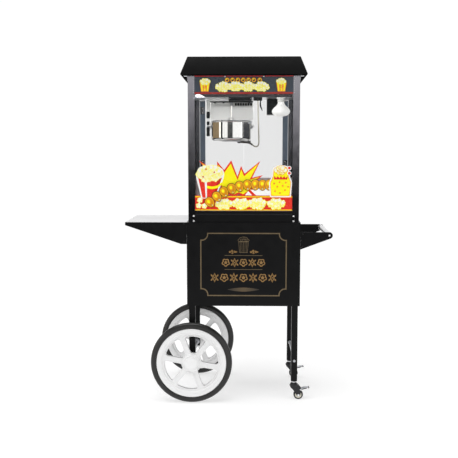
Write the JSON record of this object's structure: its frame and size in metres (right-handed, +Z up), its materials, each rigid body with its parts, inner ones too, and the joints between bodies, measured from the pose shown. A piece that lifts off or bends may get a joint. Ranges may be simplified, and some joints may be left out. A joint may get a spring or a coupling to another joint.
{
  "type": "popcorn cart",
  "caption": "Kettle popcorn machine with a glazed case and pitched roof on a two-wheeled cart with a side shelf, push handle and braked casters.",
  "frame": {"origin": "on the floor, under the middle of the bounding box", "axes": "+Z up; the front glass and sign face -Y; the side shelf points to -X and the push handle to +X"},
  "size_m": [0.9344, 0.48, 1.5535],
  "materials": {
    "black_paint": "satin black powder coat",
    "roof_paint": "matt black powder coat",
    "stainless": "bright stainless steel",
    "zinc_steel": "zinc-plated steel",
    "white_plastic": "white moulded plastic, satin",
    "tyre_rubber": "smooth black rubber",
    "caster_rubber": "dark grey rubber tread",
    "black_plastic": "black moulded plastic",
    "clear_glass": "clear, polished",
    "lamp_glass": "frosted white",
    "sign_slate": "dark slate, satin",
    "cord_rubber": "light grey silicone cord"
  },
  "bodies": {
    "cart": {"cart_front_panel": "black_paint", "cart_left_panel": "black_paint", "cart_right_panel": "black_paint", "cart_floor_panel": "black_paint", "cart_top_panel": "black_paint", "leg_front_left": "black_paint", "leg_front_right": "black_paint", "leg_rear_left": "black_paint", "leg_rear_right": "black_paint", "side_shelf_bracket_front": "black_paint", "side_shelf_bracket_rear": "black_paint", "handle_bracket_front": "black_paint", "handle_bracket_rear": "black_paint", "machine_front_rail": "black_paint", "machine_left_rail": "black_paint", "machine_right_rail": "black_paint", "machine_post_front_left": "black_paint", "machine_post_front_right": "black_paint", "machine_post_rear_left": "black_paint", "machine_post_rear_right": "black_paint", "top_housing": "black_paint", "stir_motor_housing": "black_paint", "roof": "roof_paint", "side_shelf_top": "stainless", "push_handle": "stainless", "popcorn_tray_plate": "stainless", "rear_sill_panel": "stainless", "leg_crossbar": "zinc_steel", "wheel_axle": "zinc_steel", "kettle_hanger": "zinc_steel", "wiring_box": "black_plastic", "front_glass": "clear_glass", "left_glass": "clear_glass", "right_glass": "clear_glass", "heat_lamp": "lamp_glass", "sign_panel": "sign_slate", "kettle_lead": "cord_rubber"},
    "cart_rear_door": {"cart_rear_door": "black_paint"},
    "front_wheel": {"front_wheel_rim": "white_plastic", "front_wheel_tyre": "tyre_rubber"},
    "rear_wheel": {"rear_wheel_rim": "white_plastic", "rear_wheel_tyre": "tyre_rubber"},
    "front_caster": {"caster_front_fork": "black_paint"},
    "front_caster_wheel": {"caster_front_wheel": "caster_rubber"},
    "front_caster_brake": {"caster_front_brake_pedal": "black_plastic"},
    "rear_caster": {"caster_rear_fork": "black_paint"},
    "rear_caster_wheel": {"caster_rear_wheel": "caster_rubber"},
    "rear_caster_brake": {"caster_rear_brake_pedal": "black_plastic"},
    "left_door": {"left_glass_door": "clear_glass"},
    "right_door": {"right_glass_door": "clear_glass"},
    "kettle": {"kettle_pot": "stainless", "kettle_tilt_handle": "zinc_steel"},
    "lid_front": {"kettle_lid_front": "stainless"},
    "lid_rear": {"kettle_lid_rear": "stainless"},
    "stirrer": {"stirrer": "stainless"},
    "stir_coupling": {"stir_drive_coupling": "zinc_steel"},
    "crumb_drawer": {"crumb_drawer": "black_paint"},
    "motor_switch": {"stir_motor_switch": "black_plastic"},
    "heat_switch": {"kettle_heat_switch": "black_plastic"},
    "light_switch": {"lamp_switch": "black_plastic"}
  },
  "joints": [
    {"name": "front_wheel_spin", "type": "hinge", "parent": "cart", "child": "front_wheel", "pos_m": [-0.16865, -0.215, 0.185], "axis": [0, 1, 0], "continuous": true},
    {"name": "rear_wheel_spin", "type": "hinge", "parent": "cart", "child": "rear_wheel", "pos_m": [-0.16865, 0.215, 0.185], "axis": [0, 1, 0], "continuous": true},
    {"name": "front_caster_swivel", "type": "hinge", "parent": "cart", "child": "front_caster", "pos_m": [0.30075, -0.1626, 0.0775], "axis": [0, 0, 1], "continuous": true},
    {"name": "front_caster_wheel_spin", "type": "hinge", "parent": "front_caster", "child": "front_caster_wheel", "pos_m": [0.32115, -0.1626, 0.022], "axis": [0, 1, 0], "continuous": true},
    {"name": "front_caster_brake_press", "type": "hinge", "parent": "front_caster", "child": "front_caster_brake", "pos_m": [0.33175, -0.1626, 0.0475], "axis": [0, 1, 0], "range_deg": [0, 12]},
    {"name": "rear_caster_swivel", "type": "hinge", "parent": "cart", "child": "rear_caster", "pos_m": [0.30075, 0.1626, 0.0775], "axis": [0, 0, 1], "continuous": true},
    {"name": "rear_caster_wheel_spin", "type": "hinge", "parent": "rear_caster", "child": "rear_caster_wheel", "pos_m": [0.32115, 0.1626, 0.022], "axis": [0, 1, 0], "continuous": true},
    {"name": "rear_caster_brake_press", "type": "hinge", "parent": "rear_caster", "child": "rear_caster_brake", "pos_m": [0.33175, 0.1626, 0.0475], "axis": [0, 1, 0], "range_deg": [0, 12]},
    {"name": "cart_rear_door_hinge", "type": "hinge", "parent": "cart", "child": "cart_rear_door", "pos_m": [-0.18645, 0.185, 0.63], "axis": [0, 0, 1], "range_deg": [0, 110]},
    {"name": "left_door_hinge", "type": "hinge", "parent": "cart", "child": "left_door", "pos_m": [-0.15025, 0.18, 1.2005], "axis": [0, 0, 1], "range_deg": [0, 110]},
    {"name": "right_door_hinge", "type": "hinge", "parent": "cart", "child": "right_door", "pos_m": [0.28375, 0.18, 1.2005], "axis": [0, 0, -1], "range_deg": [0, 110]},
    {"name": "kettle_tilt", "type": "hinge", "parent": "cart", "child": "kettle", "pos_m": [0.00875, 0, 1.2537], "axis": [1, 0, 0], "range_deg": [0, 90], "deforming": ["kettle_lead"]},
    {"name": "front_lid_hinge", "type": "hinge", "parent": "kettle", "child": "lid_front", "pos_m": [0.00875, -0.0075, 1.2812], "axis": [-1, 0, 0], "range_deg": [0, 70]},
    {"name": "rear_lid_hinge", "type": "hinge", "parent": "kettle", "child": "lid_rear", "pos_m": [0.00875, 0.0075, 1.2812], "axis": [1, 0, 0], "range_deg": [0, 70]},
    {"name": "stirrer_spin", "type": "hinge", "parent": "kettle", "child": "stirrer", "pos_m": [0.00875, 0, 1.191], "axis": [0, 0, 1], "continuous": true},
    {"name": "stir_coupling_spin", "type": "hinge", "parent": "cart", "child": "stir_coupling", "pos_m": [0.00875, 0, 1.3525], "axis": [0, 0, 1], "continuous": true},
    {"name": "crumb_drawer_slide", "type": "slide", "parent": "cart", "child": "crumb_drawer", "axis": [0, 1, 0], "range_m": [0, 0.22]},
    {"name": "motor_switch_rock", "type": "hinge", "parent": "cart", "child": "motor_switch", "pos_m": [0.17675, 0.1819, 1.432], "axis": [1, 0, 0], "range_deg": [0, 16]},
    {"name": "heat_switch_rock", "type": "hinge", "parent": "cart", "child": "heat_switch", "pos_m": [0.20475, 0.1819, 1.432], "axis": [1, 0, 0], "range_deg": [0, 16]},
    {"name": "light_switch_rock", "type": "hinge", "parent": "cart", "child": "light_switch", "pos_m": [0.23275, 0.1819, 1.432], "axis": [1, 0, 0], "range_deg": [0, 16]}
  ],
  "couplings": [
    {"joint": "stirrer_spin", "follows": "stir_coupling_spin", "ratio": 1}
  ]
}
